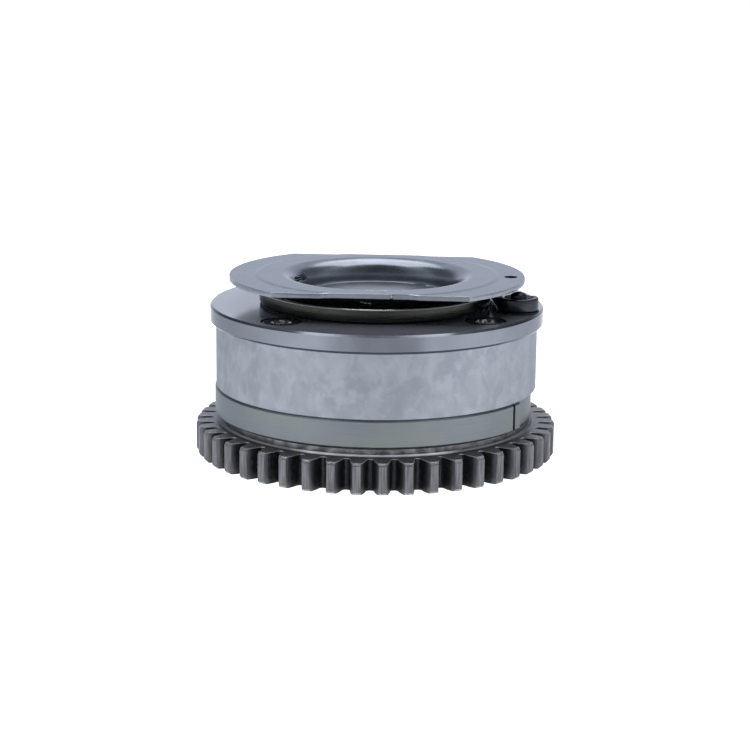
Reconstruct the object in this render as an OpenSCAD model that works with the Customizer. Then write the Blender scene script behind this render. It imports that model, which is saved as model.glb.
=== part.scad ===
// Vane type cam phaser: a geared housing that turns the camshaft through a sprung, oil driven rotor.
// The axis is Z, the gear's rear face lies on Z = 0 and the trigger wheel is on top.
// Angles are counted from +X towards +Y. The view that shows the front looks along +Y.

/* [Drive gear] */
// Number of gear teeth
gear_teeth = 46; // [40:1:56]
// Radius over the tooth tips
gear_tip_r = 54; // [52:0.5:60]
// Width of the toothed ring
gear_w = 9.3; // [7:0.1:14]
// Share of the tooth pitch that is tooth
tooth_share = 0.545; // [0.48:0.005:0.56]
// Pressure angle of the tooth flanks
tooth_pressure_deg = 17.5; // [15:0.5:23]
// Depth of the teeth, in modules
tooth_depth = 2.4; // [2.1:0.05:2.5]
// Angle of the tooth nearest the front
tooth_phase_deg = -87.65; // [-90:0.05:-82]
// Chamfer on the ends of the teeth
gear_chamfer = 0.8; // [0.2:0.1:1.2]
// Wall of the ring between its bore and the tooth roots
gear_rim = 6.6; // [5:0.1:8]
// Width of the machined ring round the neck's foot
gear_land_w = 0.9; // [0.6:0.1:1.2]
// Height of the machined ring round the neck's foot
gear_land_h = 0.6; // [0.3:0.1:0.8]

/* [Rear plate] */
// Depth of the neck under the band
neck_undercut = 2; // [1.2:0.1:2.5]
// Height of the neck
neck_h = 2.8; // [1.5:0.1:4]
// How far the band stands out from the housing
band_lip = 0.3; // [0:0.05:0.8]
// Height of the band
band_h = 7.9; // [7:0.1:12]
// Depth of the recess in the band
band_recess = 1.6; // [0.6:0.1:1.9]
// Angle at which the recess starts
recess_from_deg = -29.5; // [-32:0.5:-10]
// Angle over which the recess runs
recess_span_deg = 62.5; // [20:0.5:90]
// Width of the narrow notch beside the recess
notch_w = 1.2; // [0.8:0.1:1.6]
// Depth of the narrow notch
notch_d = 1.8; // [1:0.1:2.6]
// Angle of the narrow notch
notch_deg = -33.9; // [-36:0.1:-33]
// Depth of the dished ring in the rear face
rear_dish = 2; // [0.5:0.1:4]
// Margin between the dished ring and the rims on both sides of it
dish_margin = 4; // [2:0.1:6]
// How far the rear face lies inside the gear's rear face
rear_inset = 0.6; // [0.2:0.1:2]

/* [Stator housing] */
// Outer radius of the housing
housing_r = 48; // [47:0.1:49]
// Height of the housing
housing_h = 19.4; // [16:0.1:26]
// Wall of the housing outside the oil chambers
housing_wall = 8.5; // [7.5:0.1:9.5]
// Width of each web between the chambers
web_deg = 34; // [30:1:38]
// Chamfer on the housing's rims
housing_chamfer = 0.4; // [0.2:0.1:0.8]

/* [Front cover] */
// How far the cover stands out from the housing
cover_lip = 1.7; // [0.8:0.1:3]
// Thickness of the cover
cover_t = 5.25; // [4.6:0.05:7]
// Chamfer on the cover's rim
cover_chamfer = 0.6; // [0.2:0.1:1]

/* [Cover screws] */
// Distance of the screws' axes from the housing's side
screw_inset = 6.7; // [6.2:0.1:7.1]
// Angle of the first screw
screw_phase_deg = -41; // [-50:1:-35]
// Radius of the screw shank
screw_r = 3; // [2.5:0.1:3]
// Radius of the screw head
screw_head_r = 5.75; // [5:0.05:5.9]
// Height of the screw head
screw_head_h = 3.2; // [2.6:0.1:3.4]
// Radius of the lobed socket
socket_r = 2.8; // [2:0.1:3.2]
// Depth of the lobed socket
socket_d = 2.2; // [1:0.1:2.4]
// Length of thread in the rear plate
thread_l = 7; // [5:0.1:7.4]

/* [Rotor] */
// Radius of the rotor's hub
hub_r = 23; // [22:0.1:24]
// Radius of the rear journal
journal_r = 18; // [17:0.1:19]
// Radius of the front nose
nose_r = 15; // [14:0.1:17]
// How far the nose stands out of the cover
nose_rise = 0.35; // [0.3:0.05:1]
// Radius of the bore for the central bolt
bolt_bore_r = 9; // [7:0.1:9.5]
// Radius of the pocket for the camshaft's pilot
pilot_r = 12.5; // [11:0.1:14]
// Depth of the pocket for the camshaft's pilot
pilot_d = 5; // [3:0.1:8]
// How far the rotor's rear face lies inside the rear plate
journal_inset = 3.4; // [2:0.1:5]
// Angle through which the rotor turns
travel_deg = 20; // [15:1:22]
// Width of the three plain vanes
vane_deg = 18; // [14:1:24]
// Radius of the oil drillings
oil_r = 1.5; // [1:0.1:2]

/* [Seals] */
// Width of the sealing strips
seal_w = 2.4; // [1.8:0.1:3]
// Depth of the sealing strips
seal_d = 3.2; // [2.4:0.1:3.6]
// Room for the leaf spring behind a strip
leaf_room = 1.2; // [0.9:0.1:1.6]
// Thickness of the leaf springs
leaf_t = 0.3; // [0.2:0.05:0.4]

/* [Lock pin] */
// Radius of the lock pin
lock_r = 3.5; // [3:0.1:3.8]
// Length of the lock pin
lock_l = 11; // [9:0.1:12]
// Travel of the lock pin
lock_travel = 3.5; // [2.5:0.1:4.5]
// Wall of the bush that the pin locks in
bush_t = 0.8; // [0.6:0.1:1.4]
// Room under the locked pin in its bush
bush_room = 2.5; // [1:0.1:3]
// Radius of the lock spring's wire
lock_wire_r = 0.35; // [0.25:0.05:0.45]
// Turns of the lock spring
lock_turns = 7; // [5:1:9]

/* [Bias spring] */
// Height of the spring strip
strip_h = 3.75; // [3:0.05:5]
// Thickness of the spring strip
strip_t = 1.7; // [1.2:0.05:1.8]
// Height of the strip over the cover
spring_lift = 0.6; // [0.5:0.05:1.2]
// Least gap between the turns of the spiral
coil_gap = 0.6; // [0.4:0.05:0.8]
// Angle of the inner end in the bowl
tang_deg = 260; // [240:1:280]
// Length of the inner end inside the bowl's wall
tang_l = 1.2; // [0.5:0.1:2]
// Room between the spiral and the bowl
spring_bowl_gap = 0.6; // [0.4:0.05:1]

/* [Spring post] */
// Radius of the post
post_r = 4.2; // [3.6:0.1:4.3]
// Radius of the knob on top of the post
knob_r = 2.3; // [1.6:0.1:3]
// Radius of the post's shank in the cover
post_shank_r = 3; // [2.5:0.1:3.4]
// Distance of the post's axis from the cover's rim
post_edge = 6.5; // [6.3:0.1:7]
// Angle of the post
post_deg = -16.4; // [-20:0.2:-12]
// Bend room between the spiral's outer turn and the hook
post_offset = 2.8; // [1.5:0.1:4]
// Thickness of the post's flange
flange_t = 0.5; // [0.3:0.05:0.5]
// Angle over which the hook wraps the post
hook_wrap_deg = 205; // [180:1:230]

/* [Trigger wheel] */
// Radius of the wheel
wheel_r = 44; // [42:0.1:46]
// Thickness of the sheet
sheet_t = 1.5; // [1:0.1:1.8]
// Distance of the two flats from the axis
wheel_flat = 33.8; // [32:0.1:38]
// Turn of the flats about the axis
wheel_yaw_deg = -3.3; // [-10:0.1:10]
// Gap between the spring and the wheel's underside
wheel_gap = 2.7; // [2.2:0.1:4]
// Inner radius of the bowl
bowl_r = 23.6; // [22.5:0.1:23.8]
// Inside bend of the bowl's shoulder
shoulder_bend = 3.8; // [1.5:0.1:3.9]
// Inside bend of the bowl's floor
floor_bend = 1; // [0.8:0.1:1.2]
// Radius of the crease in the disc
crease_r = 36; // [33:0.1:40]
// Width of the slope at the crease
crease_w = 1.2; // [0.6:0.1:2]
// Drop of the disc outside the crease
crease_drop = 0.2; // [0.1:0.05:0.6]
// Radius of the nick in the front flat
nick_r = 0.4; // [0.2:0.05:0.8]
// Distance of the nick from the flat's middle
nick_offset = 6; // [-20:0.5:20]
// Radius of the small hole in the disc
wheel_hole_r = 1.9; // [1:0.1:2.5]
// Distance of the small hole from the wheel's rim
wheel_hole_edge = 4.2; // [3.5:0.1:6]
// Angle of the small hole
wheel_hole_deg = -4; // [-10:1:10]
// Middle angle of the window in the bowl's wall
window_deg = 166; // [155:1:185]
// Length of the window in the bowl's wall
window_w = 10.6; // [3:0.1:12]
// Height of the window in the bowl's wall
window_h = 1.8; // [1:0.1:2]
// Radius of the dowel that keeps wheel and rotor in step
dowel_r = 1.5; // [1:0.1:1.6]

/* [Clearances] */
// Running clearance of journals, seals and the lock pin
run_clear = 0.06; // [0.03:0.01:0.1]
// Clearance of pressed and screwed fits
press_clear = 0.02; // [0.01:0.01:0.05]
// Gap between the vanes or webs and the faces that they pass
tip_gap = 0.3; // [0.25:0.05:0.5]
// End clearance of the rotor
end_clear = 0.05; // [0.03:0.01:0.1]
// Radial clearance of through holes
hole_clear = 0.25; // [0.15:0.05:0.4]
// Angle left between a vane and its stop
stop_gap_deg = 1; // [0.8:0.1:2]

/* [Hidden] */
$fn = 72;
cut = 1;
sectors = 4;
sector_deg = 360 / sectors;

// Heights, from the gear's rear face upwards
band_z = gear_w + neck_h;
plate_top = band_z + band_h;
cover_z = plate_top + housing_h;
cover_top = cover_z + cover_t;
rotor_z = plate_top + end_clear;
rotor_h = housing_h - 2 * end_clear;
rotor_top = rotor_z + rotor_h;
rotor_rear = rear_inset + journal_inset;
nose_top = cover_top + nose_rise;
spring_z = cover_top + spring_lift;
spring_top = spring_z + strip_h;
disc_z = spring_top + wheel_gap + crease_drop;
disc_top = disc_z + sheet_t;
post_gap = 1.2;
post_top = disc_z - crease_drop - post_gap;

// Radii that follow the housing
band_r = housing_r + band_lip;
neck_r = band_r - neck_undercut;
cover_r = housing_r + cover_lip;
screw_circle_r = housing_r - screw_inset;
chamber_r = housing_r - housing_wall;

// Chambers, vanes and webs
chamber_deg = sector_deg - web_deg;
first_chamber_deg = screw_phase_deg + sector_deg / 2;
lock_vane_deg = chamber_deg - travel_deg - 2 * stop_gap_deg;
first_vane_deg = first_chamber_deg - chamber_deg / 2 + stop_gap_deg + lock_vane_deg / 2;
vane_tip_r = chamber_r - tip_gap;
web_tip_r = hub_r + tip_gap;
slot_d = seal_d + leaf_room;
leaf_gap = 0.1;
leaf_end_gap = 1;
oil_margin_deg = 4;
oil_inset = rotor_h / 4;

// Lock pin and its seats
lock_wall = 0.8;
lock_circle_r = vane_tip_r - slot_d - lock_wall - lock_r - run_clear;
lock_lift = 0.15;
lock_z = rotor_z + lock_lift;
lock_floor = 3;
lock_chamfer = 0.5;
seat_t = 1.5;
seat_vent_r = 0.8;
lock_cup_wall = 1.3;
lock_cup_r = lock_r - lock_cup_wall;
lock_coil_r = lock_cup_r - lock_wire_r - run_clear;
bush_bore_r = lock_r + run_clear;
bush_r = bush_bore_r + bush_t;
bush_l = lock_travel + bush_room;

// Screws
head_gap = 0.15;
head_sink = 0.1;
head_z = cover_top - head_sink - screw_head_h;
head_chamfer = 0.5;
socket_lobes = 6;
screw_tip_z = plate_top - thread_l;
thread_room = 0.4;

// Wheel
bowl_out_r = bowl_r + sheet_t;
shoulder_r = shoulder_bend + sheet_t;
floor_r = floor_bend + sheet_t;
floor_hole_r = bolt_bore_r + 2 * hole_clear;
window_rise = 2.1;
window_reach = 2;
window_z = disc_top - shoulder_r + window_rise - window_h / 2;
dowel_circle_r = (floor_hole_r + nose_r) / 2;
dowel_deg = 45;
dowel_depth = 4;
dowel_sink = 0.3;
dowel_l = dowel_depth + sheet_t - dowel_sink;

// Post and spiral
post_circle_r = cover_r - post_edge;
post_x = post_circle_r * cos(post_deg);
post_y = post_circle_r * sin(post_deg);
hook_r = post_r + press_clear + strip_t / 2;
flange_lip = 0.2;
flange_r = hook_r + strip_t / 2 + flange_lip;
dome_h = 0.8;
spiral_r = post_circle_r - hook_r - post_offset;
spiral_in_r = bowl_out_r + spring_bowl_gap + strip_t / 2;
tangent_deg = acos((spiral_r + hook_r) / post_circle_r);
spiral_from_deg = post_deg + tangent_deg;
whole_turns = floor((spiral_r - spiral_in_r) / (strip_t + coil_gap) - (tang_deg - spiral_from_deg) / 360);
spiral_span_deg = tang_deg - spiral_from_deg + 360 * whole_turns;
tang_bend = 0.75;
tang_bend_r = strip_t / 2 + tang_bend;
tang_end_r = bowl_r - tang_l;
tang_slot_clear = 0.12;
arc_step_deg = 7.5;

// Gear teeth
gear_module = 2 * gear_tip_r / (gear_teeth + 2);
gear_pitch_r = gear_module * gear_teeth / 2;
gear_root_r = gear_tip_r - tooth_depth * gear_module;
gear_base_r = gear_pitch_r * cos(tooth_pressure_deg);
spigot_r = gear_root_r - gear_rim;
tooth_half_deg = 180 * tooth_share / gear_teeth;
flank_steps = 4;
root_steps = 6;
root_arc_deg = 75;
root_round = gear_root_r * sin(180 / gear_teeth - flank_deg(gear_root_r));
root_centre_r = gear_root_r + root_round;

function polar(r, a) = [r * cos(a), r * sin(a)];
function involute_deg(a) = tan(a) * 180 / PI - a;
function flank_deg(r) = tooth_half_deg + involute_deg(tooth_pressure_deg)
    - involute_deg(acos(min(1, gear_base_r / r)));
function flank_r(i) = root_centre_r + (gear_tip_r - root_centre_r) * i / flank_steps;
function root_points(a) = [for (i = [0:root_steps])
    polar(root_centre_r, a) + polar(root_round, a + 180 + root_arc_deg * (1 - 2 * i / root_steps))];
function tooth_points(a) = concat(
    [for (i = [0:flank_steps]) polar(flank_r(i), a - flank_deg(flank_r(i)))],
    [for (i = [flank_steps:-1:0]) polar(flank_r(i), a + flank_deg(flank_r(i)))],
    root_points(a + 180 / gear_teeth)
);

// Middle line of the spiral strip, from the inner end to the hook's free end
function spiral_at(a) = spiral_r + (spiral_in_r - spiral_r) * (a - spiral_from_deg) / spiral_span_deg;
function arc_points(c, r, from, to) = let (n = ceil(abs(to - from) / arc_step_deg))
    [for (i = [0:n]) c + polar(r, from + (to - from) * i / n)];
function strip_path() = let (
    tang_c = polar(spiral_in_r - tang_bend_r, tang_deg),
    last = spiral_from_deg + spiral_span_deg,
    n = ceil(spiral_span_deg / arc_step_deg)
) concat(
    [polar(tang_end_r, tang_deg) + polar(tang_bend_r, tang_deg + 90)],
    arc_points(tang_c, tang_bend_r, tang_deg + 90, tang_deg + arc_step_deg),
    [for (i = [0:n]) let (a = last - spiral_span_deg * i / n) polar(spiral_at(a), a)],
    arc_points([post_x, post_y], hook_r, spiral_from_deg + 180, spiral_from_deg + 180 + hook_wrap_deg)
);
function normal_at(p, i) = let (
    a = p[max(i - 1, 0)],
    b = p[min(i + 1, len(p) - 1)],
    d = b - a
) [-d[1], d[0]] / norm(d);
function strip_outline(p, t) = concat(
    [for (i = [0:len(p) - 1]) p[i] + normal_at(p, i) * t / 2],
    [for (i = [len(p) - 1:-1:0]) p[i] - normal_at(p, i) * t / 2]
);

// Wedge of the plane between two angles, out to a radius or a little more
module wedge(from, span, reach) {
    step_deg = 30;
    n = ceil(span / step_deg);
    polygon(concat([[0, 0]], [for (i = [0:n]) polar(reach / cos(span / n / 2), from + span * i / n)]));
}

// Solid of revolution with chamfered rims
module chamfered_disc(r, h, c) {
    rotate_extrude()
        polygon([[0, 0], [r - c, 0], [r, c], [r, h - c], [r - c, h], [0, h]]);
}

module ring_of(count, phase, r) {
    for (i = [0:count - 1])
        rotate([0, 0, phase + 360 * i / count])
            translate([r, 0, 0])
                children();
}

// Toothed ring pressed on the rear plate's spigot, with a bevelled land round the neck's foot
module drive_gear() {
    pitch = 360 / gear_teeth;
    land_in_r = neck_r + press_clear;
    land_out_r = neck_r + gear_land_w;
    land_z = gear_w + gear_land_h;
    color("dimgray")
    difference() {
        union() {
            intersection() {
                linear_extrude(gear_w)
                    polygon([for (i = [0:gear_teeth - 1]) each tooth_points(tooth_phase_deg + i * pitch)]);
                chamfered_disc(gear_tip_r, gear_w, gear_chamfer);
            }
            rotate_extrude()
                polygon([
                    [land_in_r, gear_w - cut], [land_out_r, gear_w - cut], [land_out_r, gear_w],
                    [max(land_out_r - gear_land_h, land_in_r), land_z], [land_in_r, land_z]
                ]);
        }
        translate([0, 0, -cut])
            cylinder(r = spigot_r + press_clear, h = land_z + 2 * cut);
    }
}

// Plate that closes the housing at the rear and carries the gear
module rear_plate() {
    seat_from = plate_top - bush_l;
    dish_in_r = journal_r + dish_margin;
    dish_out_r = spigot_r - dish_margin;
    color("slategray")
    difference() {
        union() {
            translate([0, 0, rear_inset])
                cylinder(r = spigot_r, h = plate_top - rear_inset);
            translate([0, 0, gear_w])
                cylinder(r = neck_r, h = neck_h + cut);
            translate([0, 0, band_z])
                chamfered_disc(band_r, band_h, housing_chamfer);
        }
        translate([0, 0, -cut])
            cylinder(r = journal_r + run_clear, h = plate_top + 2 * cut);
        translate([0, 0, rear_inset - cut])
            difference() {
                cylinder(r = dish_out_r, h = rear_dish + cut);
                cylinder(r = dish_in_r, h = rear_dish + 2 * cut);
            }
        translate([0, 0, band_z])
            linear_extrude(band_h + cut)
                difference() {
                    wedge(recess_from_deg, recess_span_deg, band_r + cut);
                    circle(r = band_r - band_recess);
                }
        rotate([0, 0, notch_deg])
            translate([band_r - notch_d, -notch_w / 2, band_z])
                cube([notch_d + cut, notch_w, band_h + cut]);
        ring_of(sectors, screw_phase_deg, screw_circle_r)
            translate([0, 0, screw_tip_z - thread_room])
                cylinder(r = screw_r + press_clear, h = thread_l + thread_room + cut);
        for (turn = [0, travel_deg])
            rotate([0, 0, first_vane_deg + turn])
                translate([lock_circle_r, 0, seat_from])
                    cylinder(r = bush_r + press_clear, h = bush_l + cut);
    }
}

// Drum with four webs that part the oil chambers
module stator_housing() {
    color("lightslategray")
    translate([0, 0, plate_top])
        difference() {
            chamfered_disc(housing_r, housing_h, housing_chamfer);
            translate([0, 0, -cut])
                linear_extrude(housing_h + 2 * cut) {
                    circle(r = web_tip_r);
                    for (i = [0:sectors - 1])
                        intersection() {
                            circle(r = chamber_r);
                            wedge(first_chamber_deg - chamber_deg / 2 + i * sector_deg, chamber_deg,
                                chamber_r + cut);
                        }
                    for (i = [0:sectors - 1])
                        rotate([0, 0, screw_phase_deg + i * sector_deg])
                            translate([web_tip_r - cut, -seal_w / 2 - run_clear])
                                square([slot_d + cut, seal_w + 2 * run_clear]);
                }
            ring_of(sectors, screw_phase_deg, screw_circle_r)
                translate([0, 0, -cut])
                    cylinder(r = screw_r + hole_clear, h = housing_h + 2 * cut);
        }
}

// Polished plate that closes the housing at the front
module front_cover() {
    color("silver")
    difference() {
        translate([0, 0, cover_z])
            chamfered_disc(cover_r, cover_t, cover_chamfer);
        translate([0, 0, cover_z - cut])
            cylinder(r = nose_r + tip_gap, h = cover_t + 2 * cut);
        ring_of(sectors, screw_phase_deg, screw_circle_r) {
            translate([0, 0, cover_z - cut])
                cylinder(r = screw_r + hole_clear, h = cover_t + 2 * cut);
            translate([0, 0, head_z])
                cylinder(r = screw_head_r + head_gap, h = cover_top - head_z + cut);
        }
        translate([post_x, post_y, cover_z - cut])
            cylinder(r = post_shank_r + press_clear, h = cover_t + 2 * cut);
    }
}

// One screw: chamfered head with a lobed socket, on its shank
module cover_screw() {
    lobe_r = socket_r / 4;
    difference() {
        union() {
            translate([0, 0, screw_tip_z])
                cylinder(r = screw_r, h = head_z - screw_tip_z + cut);
            translate([0, 0, head_z])
                rotate_extrude()
                    polygon([
                        [0, 0], [screw_head_r, 0], [screw_head_r, screw_head_h - head_chamfer],
                        [screw_head_r - head_chamfer, screw_head_h], [0, screw_head_h]
                    ]);
        }
        translate([0, 0, head_z + screw_head_h - socket_d])
            linear_extrude(socket_d + cut) {
                circle(r = socket_r - lobe_r);
                for (i = [0:socket_lobes - 1])
                    rotate([0, 0, i * 360 / socket_lobes])
                        translate([socket_r - lobe_r, 0])
                            circle(r = lobe_r);
            }
    }
}

module cover_screws() {
    color("gray")
    ring_of(sectors, screw_phase_deg, screw_circle_r)
        cover_screw();
}

// Angular width of a vane: the first one holds the lock pin
function vane_width(i) = i == 0 ? lock_vane_deg : vane_deg;

// Vaned rotor with its rear journal and front nose
module rotor() {
    color("darkgray")
    difference() {
        union() {
            translate([0, 0, rotor_z])
                linear_extrude(rotor_h) {
                    circle(r = hub_r);
                    for (i = [0:sectors - 1])
                        intersection() {
                            circle(r = vane_tip_r);
                            wedge(first_vane_deg + i * sector_deg - vane_width(i) / 2, vane_width(i),
                                vane_tip_r + cut);
                        }
                }
            translate([0, 0, rotor_rear])
                cylinder(r = journal_r, h = rotor_z - rotor_rear + cut);
            translate([0, 0, rotor_top - cut])
                cylinder(r = nose_r, h = nose_top - rotor_top + cut);
        }
        translate([0, 0, rotor_rear - cut])
            cylinder(r = bolt_bore_r, h = nose_top - rotor_rear + 2 * cut);
        translate([0, 0, rotor_rear - cut])
            cylinder(r = pilot_r, h = pilot_d + cut);
        for (i = [0:sectors - 1])
            rotate([0, 0, first_vane_deg + i * sector_deg]) {
                translate([vane_tip_r - slot_d, -seal_w / 2 - run_clear, rotor_z - cut])
                    cube([slot_d + cut, seal_w + 2 * run_clear, rotor_h + 2 * cut]);
                oil_drilling(-vane_width(i) / 2 - oil_margin_deg, rotor_z + oil_inset);
                oil_drilling(vane_width(i) / 2 + oil_margin_deg, rotor_top - oil_inset);
            }
        rotate([0, 0, first_vane_deg])
            translate([lock_circle_r, 0, rotor_z - cut])
                cylinder(r = lock_r + run_clear, h = rotor_h + 2 * cut);
        rotate([0, 0, dowel_deg])
            translate([dowel_circle_r, 0, nose_top - dowel_depth])
                cylinder(r = dowel_r + press_clear, h = dowel_depth + cut);
    }
}

// Radial oil way from the bore to one side of a vane
module oil_drilling(a, z) {
    rotate([0, 0, a])
        translate([0, 0, z])
            rotate([0, 90, 0])
                cylinder(r = oil_r, h = hub_r + cut);
}

// Half section of the pressed sheet: floor, wall, rolled shoulder and creased disc
module wheel_section() {
    slope_in_r = crease_r - crease_w / 2;
    slope_out_r = crease_r + crease_w / 2;
    difference() {
        union() {
            translate([0, disc_z])
                polygon([
                    [floor_hole_r, 0], [slope_in_r, 0], [slope_out_r, -crease_drop], [wheel_r, -crease_drop],
                    [wheel_r, sheet_t - crease_drop], [slope_out_r, sheet_t - crease_drop],
                    [slope_in_r, sheet_t], [floor_hole_r, sheet_t]
                ]);
            cup_section(bowl_out_r, floor_r, nose_top, disc_top);
            difference() {
                translate([bowl_out_r - sheet_t / 2, disc_z - shoulder_bend])
                    square([shoulder_bend + sheet_t / 2, shoulder_bend]);
                translate([bowl_out_r + shoulder_bend, disc_z - shoulder_bend])
                    circle(r = shoulder_bend);
            }
        }
        cup_section(bowl_r, floor_bend, nose_top + sheet_t, disc_top + cut);
        translate([0, nose_top - cut])
            square([floor_hole_r, disc_top]);
        difference() {
            translate([bowl_r - cut, disc_top - shoulder_r])
                square([shoulder_r + cut, shoulder_r + cut]);
            translate([bowl_r + shoulder_r, disc_top - shoulder_r])
                circle(r = shoulder_r);
        }
    }
}

// Half section of a cup with a rounded floor corner
module cup_section(r, bend, from, to) {
    translate([0, from])
        square([r - bend, to - from]);
    translate([0, from + bend])
        square([r, to - from - bend]);
    translate([r - bend, from + bend])
        circle(r = bend);
}

// Pressed sheet wheel that the cam sensor reads
module trigger_wheel() {
    slot_w = strip_t + 2 * tang_slot_clear;
    slot_l = floor_bend + sheet_t + spring_bowl_gap + cut;
    wall_cut = sheet_t + shoulder_r + window_reach;
    color("lightsteelblue")
    difference() {
        intersection() {
            rotate_extrude()
                wheel_section();
            rotate([0, 0, wheel_yaw_deg])
                translate([-wheel_r - cut, -wheel_flat, 0])
                    cube([2 * (wheel_r + cut), 2 * wheel_flat, disc_top + cut]);
        }
        rotate([0, 0, wheel_yaw_deg])
            translate([nick_offset, -wheel_flat, disc_z - crease_drop - cut])
                cylinder(r = nick_r, h = sheet_t + crease_drop + 2 * cut);
        rotate([0, 0, wheel_hole_deg])
            translate([wheel_r - wheel_hole_edge, 0, disc_z - crease_drop - cut])
                cylinder(r = wheel_hole_r, h = sheet_t + crease_drop + 2 * cut);
        rotate([0, 0, tang_deg])
            translate([bowl_r - floor_bend - cut, tang_bend_r - slot_w / 2, nose_top - cut])
                cube([slot_l, slot_w, spring_top + tang_slot_clear - nose_top + cut]);
        rotate([0, 0, window_deg])
            translate([bowl_r - window_reach, -window_w / 2, window_z])
                cube([wall_cut, window_w, window_h]);
        rotate([0, 0, dowel_deg])
            translate([dowel_circle_r, 0, nose_top - cut])
                cylinder(r = dowel_r + press_clear, h = sheet_t + 2 * cut);
    }
}

// Pin that keeps the wheel in step with the rotor
module wheel_dowel() {
    color("gainsboro")
    rotate([0, 0, dowel_deg])
        translate([dowel_circle_r, 0, nose_top - dowel_depth])
            chamfered_disc(dowel_r, dowel_l, dowel_r / 6);
}

// Flat spiral spring: inner end in the bowl's slot, outer end hooked round the post
module bias_spring() {
    color("darkolivegreen")
    translate([0, 0, spring_z])
        linear_extrude(strip_h)
            polygon(strip_outline(strip_path(), strip_t));
}

// Post with a thin flange under the hook and a domed knob on top, pressed in the cover
module spring_post() {
    knob_h = post_top - cover_top;
    dome_r = (knob_r * knob_r + dome_h * dome_h) / (2 * dome_h);
    color("black")
    translate([post_x, post_y, 0]) {
        translate([0, 0, cover_z])
            cylinder(r = post_shank_r, h = cover_t);
        translate([0, 0, cover_top]) {
            cylinder(r = flange_r, h = flange_t);
            cylinder(r = post_r, h = spring_top - cover_top);
            rotate_extrude()
                intersection() {
                    square([knob_r, knob_h]);
                    union() {
                        square([knob_r, knob_h - dome_h]);
                        translate([0, knob_h - dome_r])
                            circle(r = dome_r);
                    }
                }
        }
    }
}

// Hollow pin in the wide vane, drawn back from its bush
module lock_pin() {
    color("gainsboro")
    rotate([0, 0, first_vane_deg])
        translate([lock_circle_r, 0, lock_z])
            difference() {
                chamfered_disc(lock_r, lock_l, lock_chamfer);
                translate([0, 0, lock_floor])
                    cylinder(r = lock_cup_r, h = lock_l);
            }
}

// Vented disc that backs the lock spring at the cover
module lock_spring_seat() {
    color("black")
    rotate([0, 0, first_vane_deg])
        translate([lock_circle_r, 0, rotor_top - seat_t])
            difference() {
                cylinder(r = lock_r, h = seat_t);
                translate([0, 0, -cut])
                    cylinder(r = seat_vent_r, h = seat_t + 2 * cut);
            }
}

// Closed tube of round wire along a helix that starts at the origin's height
module coil(r, wire_r, h, turns) {
    sides = 8;
    rings = turns * 12;
    rise = h - 2 * wire_r;
    points = [
        for (i = [0:rings])
            let (a = 360 * turns * i / rings, z = wire_r + rise * i / rings)
            for (j = [0:sides - 1])
                let (b = 360 * j / sides)
                [(r + wire_r * cos(b)) * cos(a), (r + wire_r * cos(b)) * sin(a), z + wire_r * sin(b)]
    ];
    skin = [
        for (i = [0:rings - 1], j = [0:sides - 1])
            let (k = (j + 1) % sides)
            each [
                [i * sides + j, (i + 1) * sides + k, i * sides + k],
                [i * sides + j, (i + 1) * sides + j, (i + 1) * sides + k]
            ]
    ];
    ends = [
        [for (j = [0:sides - 1]) j],
        [for (j = [sides - 1:-1:0]) rings * sides + j]
    ];
    polyhedron(points, concat(skin, ends));
}

module lock_pin_spring() {
    from = lock_z + lock_floor;
    color("silver")
    rotate([0, 0, first_vane_deg])
        translate([lock_circle_r, 0, from + press_clear])
            coil(lock_coil_r, lock_wire_r, rotor_top - seat_t - from - 2 * press_clear, lock_turns);
}

// Hardened seat for the lock pin at one end of the rotor's travel
module lock_bush(turn) {
    color("dimgray")
    rotate([0, 0, first_vane_deg + turn])
        translate([lock_circle_r, 0, plate_top - bush_l])
            difference() {
                cylinder(r = bush_r, h = bush_l);
                translate([0, 0, -cut])
                    cylinder(r = bush_bore_r, h = bush_l + 2 * cut);
            }
}

// Plain strip along Z from a radius outwards, before its working edge is cut
module seal_strip(from_r, h) {
    translate([from_r, -seal_w / 2, 0])
        cube([seal_d, seal_w, h]);
}

// Bowed leaf between a strip and the bottom of its slot
module leaf_spring(from_r, h) {
    bow = leaf_room - leaf_t - 2 * leaf_gap;
    half = h / 2 - leaf_end_gap;
    bend_r = (half * half + bow * bow) / (2 * bow);
    width = seal_w - 4 * run_clear;
    translate([from_r + leaf_gap, width / 2, h / 2])
        rotate([90, 0, 0])
            linear_extrude(width)
                intersection() {
                    translate([0, -half])
                        square([bow + leaf_t, 2 * half]);
                    translate([bow - bend_r, 0])
                        difference() {
                            circle(r = bend_r + leaf_t);
                            circle(r = bend_r);
                        }
                }
}

// Strips of the vanes are cut to the chamber's radius, those of the webs to the hub's
module vane_seal(i) {
    color("darkslategray")
    intersection() {
        rotate([0, 0, first_vane_deg + i * sector_deg])
            translate([0, 0, rotor_z])
                seal_strip(vane_tip_r - seal_d + tip_gap, rotor_h);
        cylinder(r = chamber_r - run_clear, h = cover_z);
    }
}

module vane_seal_spring(i) {
    color("silver")
    rotate([0, 0, first_vane_deg + i * sector_deg])
        translate([0, 0, rotor_z])
            leaf_spring(vane_tip_r - slot_d, rotor_h);
}

module web_seal(i) {
    color("darkslategray")
    difference() {
        rotate([0, 0, screw_phase_deg + i * sector_deg])
            translate([0, 0, rotor_z])
                seal_strip(web_tip_r - tip_gap, rotor_h);
        cylinder(r = hub_r + run_clear, h = cover_top);
    }
}

module web_seal_spring(i) {
    color("silver")
    rotate([0, 0, screw_phase_deg + i * sector_deg])
        translate([0, 0, rotor_z])
            leaf_spring(web_tip_r + seal_d - tip_gap, rotor_h);
}

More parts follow.
